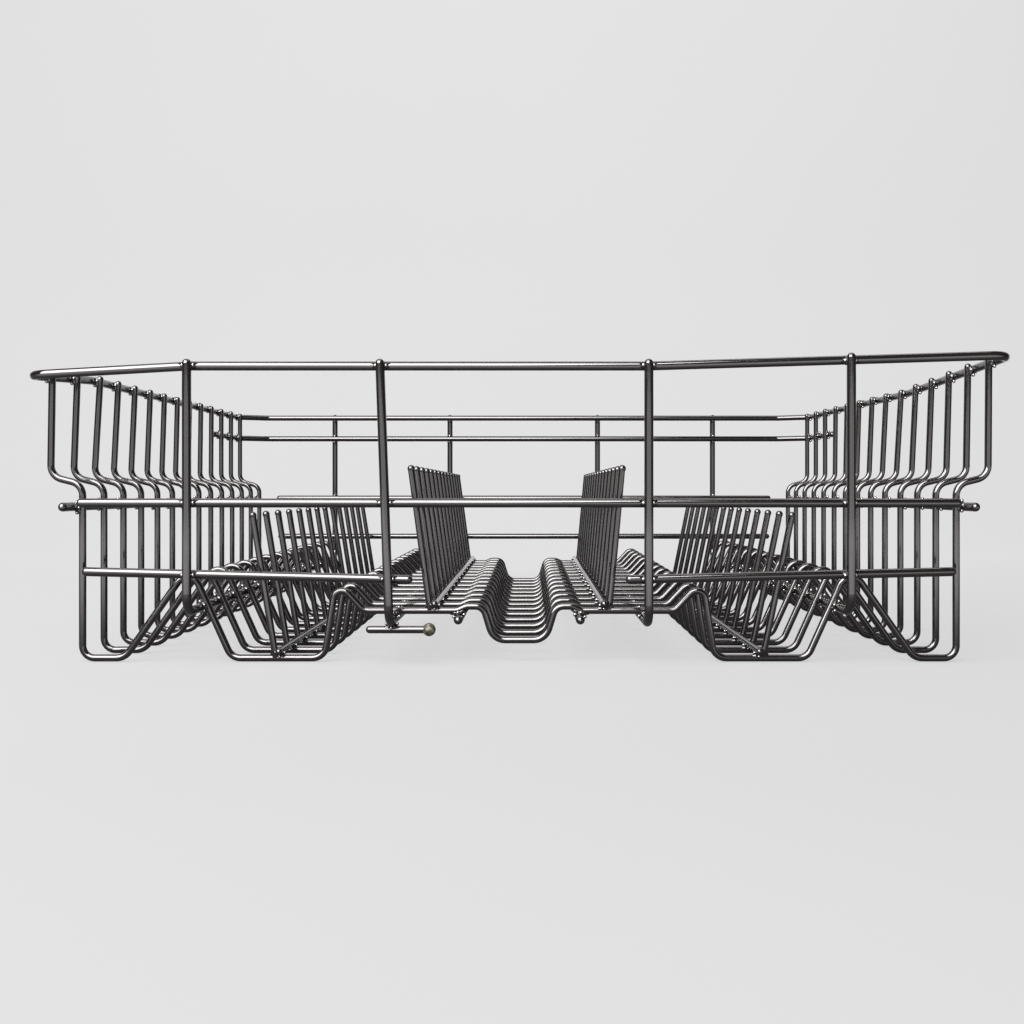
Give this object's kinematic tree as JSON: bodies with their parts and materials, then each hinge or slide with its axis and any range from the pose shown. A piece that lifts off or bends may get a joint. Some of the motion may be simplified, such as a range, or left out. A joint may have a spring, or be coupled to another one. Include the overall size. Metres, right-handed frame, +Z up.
{
  "type": "dishwasher basket",
  "caption": "Upper dishwasher basket of welded coated wire: wavy cross ribs, rim, runners, rails and rows of tines.",
  "frame": {"origin": "middle of the footprint, on the surface that the ribs stand on", "axes": "+X to the right seen from the front, +Y to the back, +Z up"},
  "size_m": [0.5473, 0.5152, 0.173],
  "materials": {
    "coated_wire": "graphite grey nylon coating on steel wire, semi-gloss, pooled at the welds",
    "bare_metal": "bare metal, dulled to olive grey"
  },
  "bodies": {
    "root": {"floor_wire_left": "coated_wire", "floor_wire_right": "coated_wire", "foot_stub": "coated_wire", "front_lower_rail_left": "coated_wire", "front_lower_rail_right": "coated_wire", "front_mid_rail": "coated_wire", "rear_lower_rail": "coated_wire", "rear_mid_rail": "coated_wire", "rear_upper_rail": "coated_wire", "rib_01": "coated_wire", "rib_02": "coated_wire", "rib_03": "coated_wire", "rib_04": "coated_wire", "rib_05": "coated_wire", "rib_06": "coated_wire", "rib_07": "coated_wire", "rib_08": "coated_wire", "rib_09": "coated_wire", "rib_10": "coated_wire", "rib_11": "coated_wire", "rib_12": "coated_wire", "rib_13": "coated_wire", "rib_14": "coated_wire", "rim": "coated_wire", "runner_inner_left": "coated_wire", "runner_inner_right": "coated_wire", "runner_outer_left": "coated_wire", "runner_outer_right": "coated_wire", "side_rail_left": "coated_wire", "side_rail_right": "coated_wire", "stub_bead": "bare_metal", "tine_row_inner_left": "coated_wire", "tine_row_inner_right": "coated_wire", "tine_row_outer_left": "coated_wire", "tine_row_outer_right": "coated_wire"}
  },
  "joints": []
}
